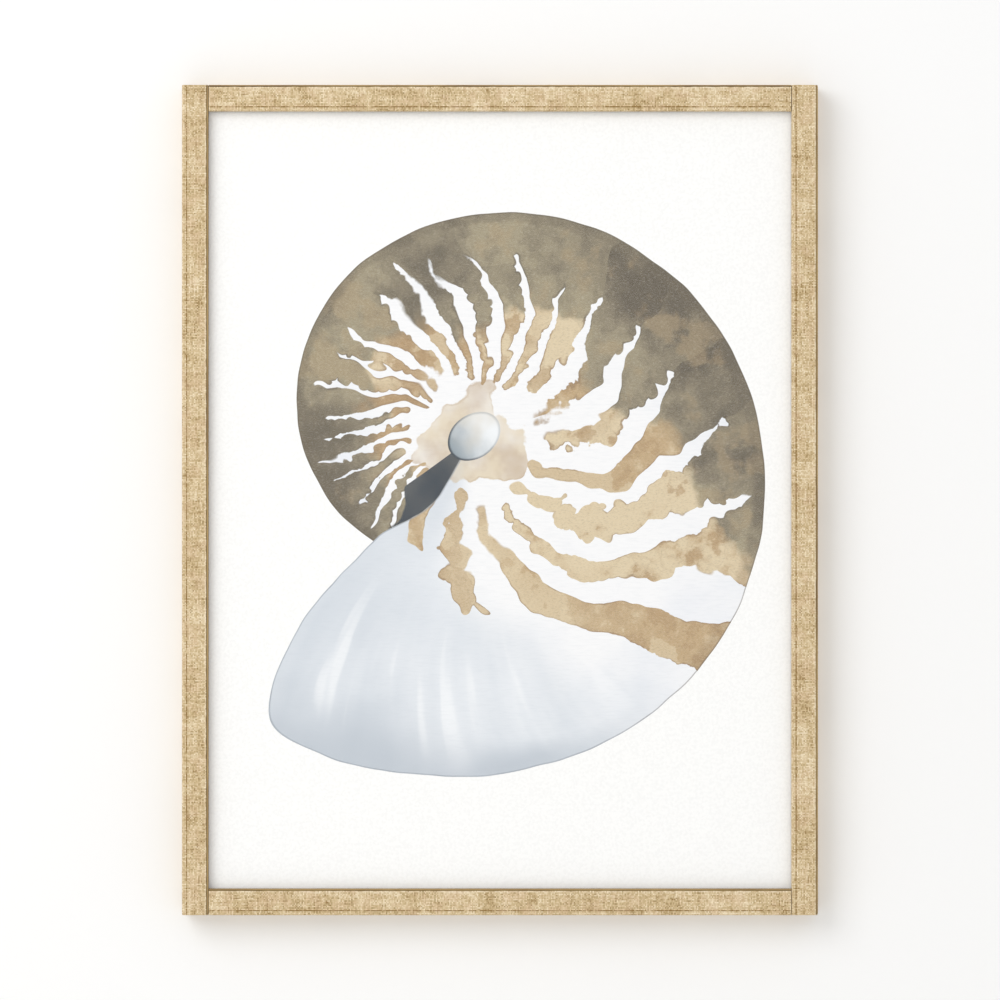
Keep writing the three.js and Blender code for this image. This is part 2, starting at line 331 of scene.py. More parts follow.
def wrapSection(kind):
    # the linen's way over the batten: s runs from its cut edge, and gives the distance in from the
    # outer edge, the depth, and the way out of the cloth
    radius = linenWrap["foldRadius"]
    if kind == "side":
        start = linenWrap["bareEdge"]
        return (lambda s: (0.0, start + s, -1.0, 0.0)), frameDepth - start, []
    flat = battenWidth - linenWrap["bareEdge"] - radius
    turn = radius * math.pi / 2
    reach = frameDepth if kind == "outer" else lipDepth

    def section(s):
        if s <= flat:
            return radius + flat - s, 0.0, 0.0, -1.0
        if s <= flat + turn:
            angle = (s - flat) / radius
            out, up = math.sin(angle), math.cos(angle)
            return radius - radius * out, radius - radius * up, -out, -up
        return 0.0, radius + s - flat - turn, -1.0, 0.0

    def mirrored(s):
        u, d, outU, outD = section(s)
        return battenWidth - u, d, -outU, outD

    steps = linenWrap["foldSteps"]
    stops = [flat + turn * step / steps for step in range(steps + 1)]
    return (mirrored if kind == "opening" else section), flat + turn + reach - radius, stops


def threadLines(length, stops, rng):
    # places from 0 to length: one on each thread, and one at each stop, with the thread number there
    spacing = linenWrap["threadSpacing"]
    count = round(length / spacing)
    drift = linenWrap["drift"]
    threads = [(n + 0.5 + rng.uniform(-drift, drift)) * length / count for n in range(count)]
    stops = sorted({0.0, length, *stops})
    places = sorted(stops + [t for t in threads if min(abs(t - stop) for stop in stops) > spacing * 0.3])
    numbers = numpy.interp(places, [0.0, *threads, length], [0.0, *[n + 0.5 for n in range(count)], count])
    return places, list(numbers)


def thickPlaces(count, length, rng):
    # for each thread, the middle and half-length of a slub along it, or None
    slubs = []
    for unused in range(count + 1):
        slub = (rng.uniform(0, length), rng.uniform(0.004, 0.022))
        slubs.append(slub if rng.random() < linenWrap["slubShare"] else None)
    return slubs


def slubHeight(slub, place):
    if slub is None:
        return 0.0
    share = abs(place - slub[0]) / slub[1]
    return linenWrap["slubLift"] * (0.5 + 0.5 * math.cos(math.pi * min(share, 1.0)))


def makeLinen(name, side, kind, nodes):
    rng = random.Random(linenWrap["seed"] + len(name) * 7 + ord(side[0]))
    start, across, along = battenAxes(side)
    section, sectionLength, foldStops = wrapSection(kind)
    rolled = side in ("left", "right") and kind != "side"
    upright = side in ("left", "right")
    endRadius = linenWrap["endRadius"]
    if rolled:
        half = outerHalfHeight
        turn = endRadius * math.pi / 2
        length = 2 * (half - endRadius + turn)
        rowStops = [turn * share for share in (0.33, 0.67, 1.0)]
        rowStops += [length - stop for stop in rowStops]
    else:
        half = outerHalfHeight - linenWrap["foldRadius"]
        if not upright:
            half = railFaceHalf if kind == "opening" else railBackHalf
        length = 2 * half
        rowStops = [half - railFaceHalf, half + railFaceHalf] if half == railBackHalf else []

    def rowPlace(v):
        # the place along the batten, and how far the cloth has sunk as it turns over the end
        if not rolled or turn <= v <= length - turn:
            return (v - length / 2, 0.0)
        angle = (turn - v if v < turn else v - length + turn) / endRadius
        out = half - endRadius + endRadius * math.sin(angle)
        return (-out if v < turn else out), endRadius * (1 - math.cos(angle))

    columns, columnNumbers = threadLines(sectionLength, foldStops, rng)
    rows, rowNumbers = threadLines(length, rowStops, rng)
    warpSlubs = thickPlaces(round(columnNumbers[-1]), length, rng)
    weftSlubs = thickPlaces(round(rowNumbers[-1]), sectionLength, rng)
    waves = [(rng.uniform(90, 700), rng.uniform(0, 6.3)) for unused in range(5)]
    pulledNumber = round(linenWrap["pulledAt"] / linenWrap["threadSpacing"]) + 0.5

    bm = bmesh.new()
    bmesh.ops.create_grid(bm, x_segments=len(columns) - 1, y_segments=len(rows) - 1, size=0.5)
    threadUv = bm.loops.layers.uv.new("threads")
    depths, places, numbers = {}, {}, {}
    for vert in bm.verts:
        column = round((vert.co.x + 0.5) * (len(columns) - 1))
        row = round((vert.co.y + 0.5) * (len(rows) - 1))
        s, v = columns[column], rows[row]
        u, d, outU, outD = section(s)
        t, sunk = rowPlace(v)
        warp, weft = columnNumbers[column], rowNumbers[row]
        lift = linenWrap["weaveLift"] * math.sin(math.pi * warp) * math.sin(math.pi * weft)
        lift += slubHeight(warpSlubs[int(warp)], v) + slubHeight(weftSlubs[int(weft)], s)
        if kind != "side" and abs(warp - pulledNumber) < 0.4:
            lift -= linenWrap["pulledDepth"]
        if sunk > 0:
            lift *= 0.3
        if column == 0 and kind != "side":
            wander = sum(math.sin(v * rate + shift) for rate, shift in waves) / len(waves)
            u += linenWrap["edgeWander"] * wander * (1 if kind == "outer" else -1)
        vert.co = start + across * (u + outU * (lift - sunk)) + along * t
        vert.co.y = frontY + d + outD * (lift - sunk)
        depths[vert], places[vert], numbers[vert] = d, t, (warp, weft)
    for face in bm.faces:
        for loop in face.loops:
            loop[threadUv].uv = numbers[loop.vert]

    if half == railBackHalf:
        # a rail's face stops at the stiles, and its back runs on behind their lips
        hidden = [
            vert for vert in bm.verts
            if abs(places[vert]) > railFaceHalf + 0.0001 and depths[vert] < lipDepth + 0.0004
        ]
        bmesh.ops.delete(bm, geom=hidden, context="VERTS")
    capArea = 0.0
    if rolled:
        for end in (-1, 1):
            capArea += capEnd(bm, threadUv, end * half, kind, start, across, along)
    bmesh.ops.recalc_face_normals(bm, faces=bm.faces)
    outward = Vector((0, -1, 0)) if kind != "side" else -across
    if sum(face.normal.dot(outward) * face.calc_area() for face in bm.faces) < 0:
        bmesh.ops.reverse_faces(bm, faces=bm.faces)

    piece = finishPiece(name, bm, linen, nodes)
    piece.data.shade_smooth()
    thick = piece.modifiers.new("thickness", "SOLIDIFY")
    thick.thickness = linenWrap["thickness"]
    thick.offset = -1
    if rolled:
        flat = (sectionLength, length + 2 * frameDepth)
        area = sectionLength * length + capArea
    else:
        flat = (sectionLength, length)
        area = sectionLength * length
    if half == railBackHalf:
        area -= 2 * (railBackHalf - railFaceHalf) * (sectionLength - frameDepth + lipDepth)
    return piece


def capEnd(bm, threadUv, endPlace, kind, start, across, along):
    # close a stile's end with a flap over its whole section, and give back the flap's area
    edges = [
        edge for edge in bm.edges
        if edge.is_boundary
        and all(abs((vert.co - start).dot(along) - endPlace) < 1e-6 for vert in edge.verts)
    ]
    tips = [vert for vert in {vert for edge in edges for vert in edge.verts}
            if sum(edge in edges for edge in vert.link_edges) == 1]
    tips.sort(key=lambda vert: vert.co.y)
    inset = linenWrap["thickness"]
    if kind == "outer":
        corners = [(battenWidth - gap, inset), (battenWidth - gap, lipDepth), (rabbetAcross, lipDepth),
                   (rabbetAcross, frameDepth)]
    else:
        corners = [(gap, inset), (gap, frameDepth), (rabbetAcross, frameDepth), (rabbetAcross, lipDepth)]
    chain = [tips[0]]
    for u, d in corners:
        place = start + across * u + along * endPlace
        chain.append(bm.verts.new((place.x, frontY + d, place.z)))
    chain.append(tips[1])
    for first, second in zip(chain, chain[1:]):
        edges.append(bm.edges.new((first, second)))
    flap = bmesh.ops.edgeloop_fill(bm, edges=edges)["faces"][0]
    for loop in flap.loops:
        offset = loop.vert.co - start
        spacing = linenWrap["threadSpacing"]
        loop[threadUv].uv = (offset.dot(across) / spacing + 30, (loop.vert.co.y - frontY) / spacing)
    return flap.calc_area()


linen = linenMaterial()
makeLinen("leftStileLinen", "left", "outer", ["left_stile_linen"])
makeLinen("rightStileLinen", "right", "opening", ["right_stile_linen"])
makeLinen("rightStileSideLinen", "right", "side", ["right_stile_side_linen"])
makeLinen("topRailLinen", "top", "opening", ["top_rail_linen"])
makeLinen("topRailSideLinen", "top", "side", ["top_rail_side_linen"])
makeLinen("bottomRailLinen", "bottom", "outer", ["bottom_rail_linen"])


def softened(name, node, width, material):
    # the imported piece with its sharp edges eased
    bm = bmesh.new()
    bm.from_mesh(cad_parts[node].data)
    bmesh.ops.remove_doubles(bm, verts=bm.verts, dist=0.00002)
    bmesh.ops.dissolve_limit(bm, angle_limit=math.radians(0.5), verts=bm.verts, edges=bm.edges)
    piece = finishPiece(name, bm, material, [node])
    piece.data.shade_smooth()
    piece.data.set_sharp_from_angle(angle=math.radians(32))
    bevel = piece.modifiers.new("easedEdges", "BEVEL")
    bevel.width = width
    bevel.segments = 3
    bevel.limit_method = "ANGLE"
    bevel.angle_limit = math.radians(32)
    bevel.harden_normals = True
    return piece


print("battens")
battenWood = {
    "easedEdge": 0.00025,
    "stainReach": 0.0075,      # how far back from the front the brown stain runs
    "stainDark": paint(112, 84, 44),
    "stainLight": paint(168, 140, 88),
    "rawDark": paint(176, 136, 88),
    "rawLight": paint(222, 190, 144),
    "grainAcross": 420.0,
    "grainAlong": 9.0,
}


def battenMaterial(name, upright):
    material, shader, place = startMaterial(name, 0.6)
    across, along = battenWood["grainAcross"], battenWood["grainAlong"]
    if upright:
        grainPlace = stretched(place, across, across, along)
    else:
        grainPlace = stretched(place, along, across, across)
    x, y, z = split(place)
    bend = noise(place, 12.0, 2.0) * 0.006
    ringPlace = (x if upright else z) * 0.8 + y * 0.5 + bend
    rings = maths("SINE", ringPlace * 2600.0) * 0.5 + 0.5
    streaks = noise(grainPlace, 1.0, 4.0, 0.6)
    pores = smooth(noise(grainPlace, 3.1, 2.0), 0.62, 0.72)
    grain = rings * 0.35 + streaks * 0.9 - pores * 0.25
    raw = blend(smooth(grain, 0.2, 0.95), battenWood["rawLight"], battenWood["rawDark"])
    stain = blend(smooth(grain, 0.15, 0.9), battenWood["stainDark"], battenWood["stainLight"])
    reach = frontY + battenWood["stainReach"]
    ragged = (noise(place, 160.0, 3.0) - 0.5) * 0.003
    stained = smooth(y + ragged, reach + 0.0006, reach - 0.0006)
    rubbed = smooth(noise(place, 55.0, 3.0), 0.56, 0.74) * 0.35
    stain = blend(rubbed, stain, paint(186, 160, 112))
    plug(shader.inputs["Base Color"], blend(stained, raw, stain))
    plug(shader.inputs["Roughness"], 0.72 - 0.2 * stained + 0.12 * streaks)
    addBump(shader, grain, 0.00012, 0.7)
    return material


uprightWood = battenMaterial("uprightWood", True)
levelWood = battenMaterial("levelWood", False)
for side in ("left", "right"):
    softened(side + "StileWood", side + "_stile", battenWood["easedEdge"], uprightWood)
for side in ("top", "bottom"):
    softened(side + "RailWood", side + "_rail", battenWood["easedEdge"], levelWood)


print("dowels")
dowelPegs = {
    "chamfer": 0.0005,
    "sides": 32,
}


def dowelMaterial():
    material, shader, place = startMaterial("beech", 0.68)
    fleck = smooth(noise(stretched(place, 180.0, 900.0, 900.0), 1.0, 3.0), 0.55, 0.7)
    tone = noise(stretched(place, 20.0, 500.0, 500.0), 1.0, 3.0)
    colour = blend(smooth(tone, 0.3, 0.7), paint(214, 180, 138), paint(190, 150, 106))
    plug(shader.inputs["Base Color"], blend(fleck * 0.5, colour, paint(150, 108, 70)))
    addBump(shader, tone, 0.0001, 0.6)
    return material


def roundBetween(name, node, profile, sides, material, axis):
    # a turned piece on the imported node's own middle line: profile gives (radius, place from 0 to 1)
    low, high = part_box(node)
    centre = (low + high) / 2
    length = (high - low).dot(axis)
    side = Vector((0, 0, 1)) if abs(axis.z) < 0.5 else Vector((1, 0, 0))
    foot = centre - axis * length / 2
    bm = bmesh.new()
    verts = [bm.verts.new(foot + side * radius + axis * (share * length)) for radius, share in profile]
    edges = [bm.edges.new(pair) for pair in zip(verts, verts[1:])]
    bmesh.ops.spin(bm, geom=verts + edges, cent=foot, axis=axis, angle=2 * math.pi, steps=sides,
                   use_merge=True)
    bmesh.ops.remove_doubles(bm, verts=bm.verts, dist=0.000001)
    bmesh.ops.recalc_face_normals(bm, faces=bm.faces)
    piece = finishPiece(name, bm, material, [node])
    piece.data.shade_smooth()
    piece.data.set_sharp_from_angle(angle=math.radians(40))
    return piece


beech = dowelMaterial()
for rail in ("top", "bottom"):
    for number in range(1, 5):
        node = f"{rail}_rail_dowel_{number}"
        low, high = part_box(node)
        radius = (high.y - low.y) / 2
        chamfer = dowelPegs["chamfer"]
        tip = chamfer / (high.x - low.x)
        profile = [(0, 0), (radius - chamfer, 0), (radius, tip)]
        profile += [(radius, 1 - tip), (radius - chamfer, 1), (0, 1)]
        roundBetween(f"{rail}RailDowel{number}", node, profile, dowelPegs["sides"], beech,
                     Vector((1, 0, 0)))


print("glazing")
glazingSheet = {
    "ior": 1.49,
    "polish": 0.004,          # roughness
    "specular": 0.12,         # a coated sheet gives almost no reflection
    "easedEdge": 0.0003,
}


def glazingMaterial():
    material, shader, place = startMaterial("glazing", glazingSheet["polish"])
    shader.inputs["Transmission Weight"].default_value = 1.0
    shader.inputs["IOR"].default_value = glazingSheet["ior"]
    shader.inputs["Specular IOR Level"].default_value = glazingSheet["specular"]
    shader.inputs["Base Color"].default_value = (1.0, 1.0, 1.0, 1.0)
    wiped = noise(stretched(place, 30.0, 30.0, 9.0), 1.0, 3.0)
    plug(shader.inputs["Roughness"], glazingSheet["polish"] + smooth(wiped, 0.6, 0.8) * 0.004)
    return material


glazing = softened("glazingSheet", "glazing", glazingSheet["easedEdge"], glazingMaterial())
glazing.visible_shadow = False     # the light that reaches the print is counted once
glazing.visible_diffuse = False


print("print")
paperSheet = {
    "cockle": 0.00011,        # how far the paper waves
    "columns": 78,
    "rows": 104,
    "white": paint(254, 254, 253),
    "tooth": paint(249, 249, 248),
    "seed": 5,
}

paintedShell = {
    "middle": (-0.020, 0.050),   # its centre, from the middle of the frame
    "size": 0.86,                # scales the whole painting
    "tilt": -24.0,               # in degrees, and a minus sign turns it clockwise
    "mouthAngle": 350.0,         # where the whorl ends at its mouth, in degrees of turn
    "cornerRound": 0.07,         # of the mouth's outer corner
    "plugHalfSize": (0.0200, 0.0262),
    "plugTilt": -30.0,
    "washReach": 0.045,          # of the thin wash round the plug
    "patchReach": 0.118,         # of the dark patch inside the mouth
    "startAngle": 240.0,         # where the whorl comes out under the mouth, in degrees
    "startRadius": 0.138,
    "growth": 2.9,               # over one whole turn
    "stripeAngle": 8.9,          # between two stripes at the start, in degrees
    "stripeStretch": 330.0,      # the turn over which stripes grow e times wider
    "lastStripe": 20,            # the last one that reaches the rim
    "olive": paint(146, 134, 107),
    "umber": paint(86, 75, 53),
    "moss": paint(158, 146, 116),
    "tan": paint(190, 161, 117),
    "sand": paint(219, 200, 164),
    "sienna": paint(170, 136, 90),
    "slate": paint(44, 55, 66),
    "pearl": paint(238, 241, 245),
    "mist": paint(233, 236, 242),
    "haze": paint(181, 190, 200),
}


def polarPlaces(place):
    # places on the shell: turn runs clockwise from under the mouth, past is beyond the mouth's edge,
    # coil follows the whorl from its start, and rim is the shell's edge there
    art = paintedShell
    x, unused, z = split(place)
    offX = (x - (middle.x + art["middle"][0])) / art["size"]
    offZ = (z - (middle.z + art["middle"][1])) / art["size"]
    cosine, sine = math.cos(math.radians(art["tilt"])), math.sin(math.radians(art["tilt"]))
    x, z = offX * cosine + offZ * sine, offZ * cosine - offX * sine
    x = x + (noise(place, 26.0, 1.0) - 0.5) * 0.0045
    z = z + (noise(stretched(place, -1.0, 1.0, 1.0), 26.0, 1.0) - 0.5) * 0.0045
    radius = maths("SQRT", x * x + z * z)
    bearing = maths("ARCTAN2", z, x)
    turn = maths("WRAP", art["startAngle"] - bearing * (180 / math.pi), 360.0, 0.0)
    mouth = art["mouthAngle"] - 13.0 * smooth(radius, 0.128, 0.060) - 6.0 * smooth(radius, 0.19, 0.34)
    past = turn - mouth
    coil = turn - 360.0 * maths("GREATER_THAN", past, 0.0)
    rate = math.log(art["growth"]) / 360
    rim = art["startRadius"] * maths("EXPONENT", coil * rate) * (1 - 0.13 * smooth(coil, 240.0, 345.0))
    rim = rim * (1 + 0.05 * smooth(coil, -10.0, 60.0) * smooth(coil, 150.0, 70.0))
    share = radius / rim
    sweep = coil - (19.0 + 25.0 * smooth(coil, 165.0, 265.0)) * smooth(share, 1.0, 0.2)
    return x, z, radius, past, coil, rim, sweep


def bareShell(place, radius, past, coil, share, sweep):
    # the unpainted shell, with cool shade that deepens in the living chamber
    art = paintedShell
    softShade = noise(place, 13.0, 2.0)
    streak = noise(join(past * 0.16, radius * 5.0, 2.0), 1.0, 2.0)
    cool = smooth(softShade + (share - 0.8) * 0.5, 0.35, 0.85)
    shell = blend(cool, paint(248, 248, 249), art["mist"])
    chamber = smooth(sweep + (softShade - 0.5) * 24.0, 262.0, 288.0)
    depth = 0.30 + 0.16 * smooth(past, -90.0, -40.0) + 0.22 * smooth(past, -30.0, -2.0)
    depth = depth + (softShade - 0.5) * 0.7 + (streak - 0.5) * 0.7 * smooth(radius, 0.13, 0.26)
    cup = blend(smooth(depth, 0.0, 1.0), art["pearl"], paint(208, 215, 223))
    shadeFrom = 0.93 - 0.17 * smooth(coil, 288.0, 325.0)
    lowRim = smooth(share + (softShade - 0.5) * 0.16, shadeFrom, 1.0) * smooth(coil, 264.0, 300.0)
    cup = blend(lowRim * 0.75, cup, art["haze"])
    paleStreak = smooth(streak, 0.44, 0.34) * smooth(radius, 0.15, 0.23) * smooth(share, 0.97, 0.8)
    cup = blend(paleStreak * 0.6, cup, paint(247, 249, 251))
    laid = noise(stretched(place, 90.0, 90.0, 640.0), 1.0, 3.0, 0.6)
    return blend(smooth(laid, 0.42, 0.72) * 0.09, blend(chamber, shell, cup), art["haze"]), chamber


def stripeWash(place, radius, coil, rim, sweep):
    # how far inside a painted stripe a place is, in metres, and the stripe's own number
    art = paintedShell
    share = radius / rim
    spacing = art["stripeAngle"] * maths("EXPONENT", coil / art["stripeStretch"])
    spread = spacing * radius * (math.pi / 180)
    meander = (noise(place, 15.0, 1.0) - 0.5) * 0.046 * smooth(radius, 0.06, 0.13)
    meander = meander + (noise(place, 46.0, 1.0) - 0.5) * 0.015
    count = art["stripeStretch"] / art["stripeAngle"] * (1 - maths("EXPONENT", sweep / -art["stripeStretch"]))
    count = count + meander / spread
    stripe = maths("FLOOR", count)
    lots = [dice(stripe, seed, 0.0) for seed in (1.0, 2.0, 3.0, 4.0)]

    # The bare gap between two stripes has one smooth side and one scalloped, and closes short of the rim
    middleOff = count - stripe - 0.5 + (lots[3] - 0.5) * 0.16
    scallops = abs(noise(place, 88.0, 0.0) - 0.5) * 0.017 - 0.0018
    scallops = scallops + (abs(noise(place, 52.0, 0.0) - 0.5) * 0.034 - 0.004) * smooth(coil, 150.0, 230.0)
    rough = smooth(middleOff * maths("SIGN", lots[1] - 0.35), 0.05, -0.05)
    lobes = scallops * (0.25 + 0.75 * rough)
    ragged = (noise(place, 250.0, 2.0) - 0.5) * 0.0052 * smooth(noise(place, 26.0, 0.0), 0.38, 0.58)
    halfGap = 0.17 + 0.11 * lots[1] + 0.03 * smooth(share, 0.55, 0.3) + 0.02 * smooth(coil, 80.0, 190.0)
    reach = 0.82 + 0.14 * lots[0] + 0.3 * smooth(coil, 205.0, 255.0)
    reach = reach - 0.13 * smooth(coil, 115.0, 160.0) * smooth(coil, 215.0, 185.0)
    halfGap = halfGap + (noise(place, 21.0, 1.0) - 0.5) * 0.24
    halfGap = halfGap * (0.14 + 0.86 * smooth(share - reach, 0.02, -0.34))
    gapSide = (halfGap - abs(middleOff)) * spread - lobes + ragged
    gapTip = (reach - share) * rim * 0.8 + middleOff * spread * (lots[2] - 0.5) * 3.0
    gapInside = maths("SMOOTH_MIN", gapSide, gapTip, 0.006)

    # A stripe ends in a round lobe near the middle, and those past the last are only short ones there
    number = stripe + maths("GREATER_THAN", middleOff, 0.0)
    finish = 0.046 + 0.018 * dice(number, 7.0, 0.0) + 0.006 * smooth(coil, 150.0, 250.0)
    wash = maths("SMOOTH_MIN", gapInside * -1.0, radius - finish + lobes * 0.7, 0.006)
    outerEnd = 9.0 * maths("LESS_THAN", number, art["lastStripe"] + 0.5)
    outerEnd = outerEnd + 0.205 - 0.045 * (number - art["lastStripe"])
    wash = maths("SMOOTH_MIN", wash, outerEnd - radius + lobes, 0.006)
    return wash, number


def washColour(place, wash, stripe, coil, share):
    # olive and umber near the rim, tan within, pooled at the edges and in hard-edged blooms
    art = paintedShell
    bloom = noise(place, 11.0, 5.0, 0.5)
    tide = noise(stretched(place, 1.0, 1.0, -1.0), 25.0, 3.0, 0.5)
    cloud = noise(stretched(place, -1.0, 1.0, 1.0), 48.0, 4.0, 0.6)
    lot, lotTwo = dice(stripe, 11.0, 0.0), dice(stripe, 12.0, 0.0)
    edge = 0.46 + 0.22 * (lot - 0.5)
    edge = edge + 0.42 * smooth(coil, 190.0, 250.0) + 0.3 * smooth(coil, 235.0, 262.0)
    deep = smooth(share + (bloom - 0.5) * 0.5, edge, edge + 0.04 + 0.14 * smooth(tide, 0.4, 0.6))
    warm = blend(smooth(cloud + (lotTwo - 0.5) * 0.35, 0.36, 0.62), art["sand"], art["tan"])
    warm = blend(smooth(bloom + (lot - 0.5) * 0.35, 0.50, 0.70) * 0.75, warm, art["sienna"])
    warm = blend(smooth(tide + (cloud - 0.5) * 0.3, 0.475, 0.455) * 0.55, warm, art["sand"])
    warm = blend(smooth(cloud + (tide - 0.5) * 0.8, 0.56, 0.60) * 0.45, warm, art["sienna"])
    cool = blend(smooth(cloud * 0.5 + bloom + (lotTwo - 0.5) * 0.12, 0.56, 0.86), art["moss"], art["olive"])
    pooled = bloom + (cloud - 0.5) * 0.3 + (lotTwo - 0.5) * 0.15 + (share - 0.85) * 0.3
    darkest = smooth(coil, 130.0, 175.0) * smooth(coil, 235.0, 205.0)
    darkest = darkest * smooth(share + (bloom - 0.5) * 0.5, 0.64, 0.86)
    cool = blend(smooth(pooled, 0.44, 0.72) * 0.9 + 0.5 * darkest, cool, art["umber"])
    cool = blend(smooth(tide, 0.50, 0.56) * 0.22, cool, art["umber"])
    cool = blend(smooth(cloud, 0.50, 0.62) * 0.26, cool, art["umber"])
    cool = blend(smooth(tide + (cloud - 0.5) * 0.4, 0.46, 0.36) * 0.4, cool, paint(168, 144, 104))
    warm = blend(0.55 * smooth(coil, 255.0, 300.0) * smooth(bloom, 0.4, 0.55), warm, art["sand"])
    colour = blend(deep, warm, cool)
    rimLine = smooth(wash, 0.0020, 0.0003) * smooth(noise(place, 33.0, 1.0), 0.38, 0.54) * 0.85
    tideLine = smooth(tide, 0.529, 0.537) * smooth(tide, 0.556, 0.541) * 0.14
    rimBand = smooth(share + (cloud - 0.5) * 0.05, 0.945, 0.972) * 0.4
    colour = blend(rimBand + rimLine + tideLine, colour, blend(deep, paint(150, 118, 76), paint(98, 86, 62)))
    speck = noise(stretched(place, 500.0, 800.0, 1100.0), 1.0, 3.0, 0.7)
    colour = blend(smooth(speck, 0.5, 0.3) * 0.22, colour, art["umber"])
    grains = smooth(speck, 0.5, 0.72) * 0.16
    return blend(grains, colour, paint(238, 230, 214))


def middleWash(place, shell, radius):
    # a thin tan wash round the plug, which dried with a darker edge
    inside = paintedShell["washReach"] - radius + 0.085 * (noise(place, 19.0, 2.0) - 0.5)
    inside = inside + 0.014 * (noise(place, 90.0, 3.0) - 0.5)
    colour = blend(smooth(noise(place, 38.0, 4.0), 0.38, 0.62), paintedShell["sand"], paintedShell["tan"])
    strength = 0.3 + 0.5 * smooth(noise(place, 24.0, 3.0), 0.3, 0.7)
    body = smooth(inside, -0.0008, 0.0010) * strength
    dried = smooth(inside, 0.0030, 0.0008) * smooth(noise(place, 36.0, 1.0), 0.36, 0.56) * 0.5
    shell = blend(body, shell, colour)
    return blend(body * dried, shell, paintedShell["sienna"])


def plugPaint(place, picture, x, z):
    # the smooth plug in the middle of the coil, pearly above and grey below
    inside = ovalInside(x, z, *paintedShell["plugHalfSize"], paintedShell["plugTilt"])
    mottle = (noise(place, 48.0, 3.0) - 0.5) * 0.9
    shade = smooth(mottle - z * 30.0 - x * 14.0, -0.55, 0.85)
    colour = blend(shade, paint(242, 245, 247), paint(148, 160, 168))
    colour = blend(smooth(noise(place, 34.0, 2.0), 0.45, 0.7) * 0.4, colour, paint(216, 206, 186))
    edge = smooth(inside, 0.0024, 0.0004) * (0.3 + 0.7 * shade)
    colour = blend(edge, colour, paintedShell["slate"])
    return blend(smooth(inside, -0.0003, 0.0003), picture, colour)


def ovalInside(x, z, halfWidth, halfHeight, tilt):
    # how far a place is inside a tilted oval, in metres
    cosine, sine = math.cos(math.radians(tilt)), math.sin(math.radians(tilt))
    acrossShare = (x * cosine + z * sine) / halfWidth
    upShare = (z * cosine - x * sine) / halfHeight
    return (1 - maths("SQRT", acrossShare * acrossShare + upShare * upShare)) * min(halfWidth, halfHeight)


def shellPaint(place):
    # the picture on the paper, from the back layer to the front
    art = paintedShell
    paper = blend(smooth(noise(place, 420.0, 3.0), 0.4, 0.65), paperSheet["white"], paperSheet["tooth"])
    x, z, radius, past, coil, rim, sweep = polarPlaces(place)
    share = radius / rim
    pencil = noise(place, 42.0, 2.0)
    mouthArc = past * radius * (math.pi / 180)
    beside = maths("LESS_THAN", coil, 180.0)     # only the last half turn ends at the mouth
    inside = maths("SMOOTH_MIN", rim - radius, beside - mouthArc, art["cornerRound"])

    shell, chamber = bareShell(place, radius, past, coil, share, sweep)
    wash, stripe = stripeWash(place, radius, coil, rim, sweep)
    bleed = 0.0003 + 0.0016 * smooth(noise(place, 24.0, 0.0), 0.60, 0.74)
    painted = smooth(wash, bleed * -1.0, bleed)
    shell = blend(painted * 0.97, shell, washColour(place, wash, stripe, coil, share))
    shell = middleWash(place, shell, radius)
    outline = smooth(abs(inside - 0.0004), 0.0011, 0.0002) * (0.25 + 0.7 * pencil)
    shell = blend(outline, shell, blend(chamber, paint(88, 76, 54), paint(132, 141, 153)))
    picture = blend(smooth(inside, -0.0003, 0.0003), paper, shell)

    # The dark patch inside the mouth, beside the plug
    patchReach = art["patchReach"]
    patchEdge = 52.0 * smooth(radius, patchReach, 0.022) + (noise(place, 42.0, 3.0) - 0.5) * 15.0
    patch = smooth(past, -0.3, 0.4) * smooth(patchEdge - past, 0.0, 1.6)
    patch = patch * smooth(radius, patchReach + 0.008, patchReach)
    patchColour = blend(smooth(noise(place, 26.0, 4.0), 0.35, 0.65), art["slate"], paint(90, 92, 92))
    picture = blend(patch, picture, patchColour)
    return plugPaint(place, picture, x, z)


def printMaterial():
    material, shader, place = startMaterial("printedPaper", 0.93)
    shader.inputs["Specular IOR Level"].default_value = 0.2
    plug(shader.inputs["Base Color"], shellPaint(place))
    tooth = noise(place, 620.0, 3.0, 0.6)
    plug(shader.inputs["Roughness"], 0.88 + 0.1 * tooth)
    addBump(shader, tooth, 0.00012, 0.5)
    return material


def makePrint():
    low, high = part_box("print")
    centre, size = (low + high) / 2, high - low
    rng = random.Random(paperSheet["seed"])
    waves = [(rng.uniform(8, 46), rng.uniform(8, 46), rng.uniform(0, 6.3)) for unused in range(6)]
    bm = bmesh.new()
    bmesh.ops.create_grid(bm, x_segments=paperSheet["columns"], y_segments=paperSheet["rows"], size=0.5)
    for vert in bm.verts:
        x, z = vert.co.x * size.x, vert.co.y * size.z
        wave = sum(math.sin(x * rateX + z * rateZ + shift) for rateX, rateZ, shift in waves) / len(waves)
        vert.co = centre + Vector((x, paperSheet["cockle"] * wave, z))
    bmesh.ops.recalc_face_normals(bm, faces=bm.faces)
    if sum(face.normal.y for face in bm.faces) > 0:
        bmesh.ops.reverse_faces(bm, faces=bm.faces)
    piece = finishPiece("paperPrint", bm, printMaterial(), ["print"])
    piece.data.shade_smooth()
    thick = piece.modifiers.new("thickness", "SOLIDIFY")
    thick.thickness = size.y
    thick.offset = 0


makePrint()


print("boards")
backBoards = {
    "easedEdge": 0.0003,
    "smoothSide": paint(114, 78, 48),
    "smoothDark": paint(99, 66, 40),
    "fibre": paint(152, 110, 70),
    "boardWhite": paint(236, 231, 218),
    "boardCore": paint(214, 205, 184),
}


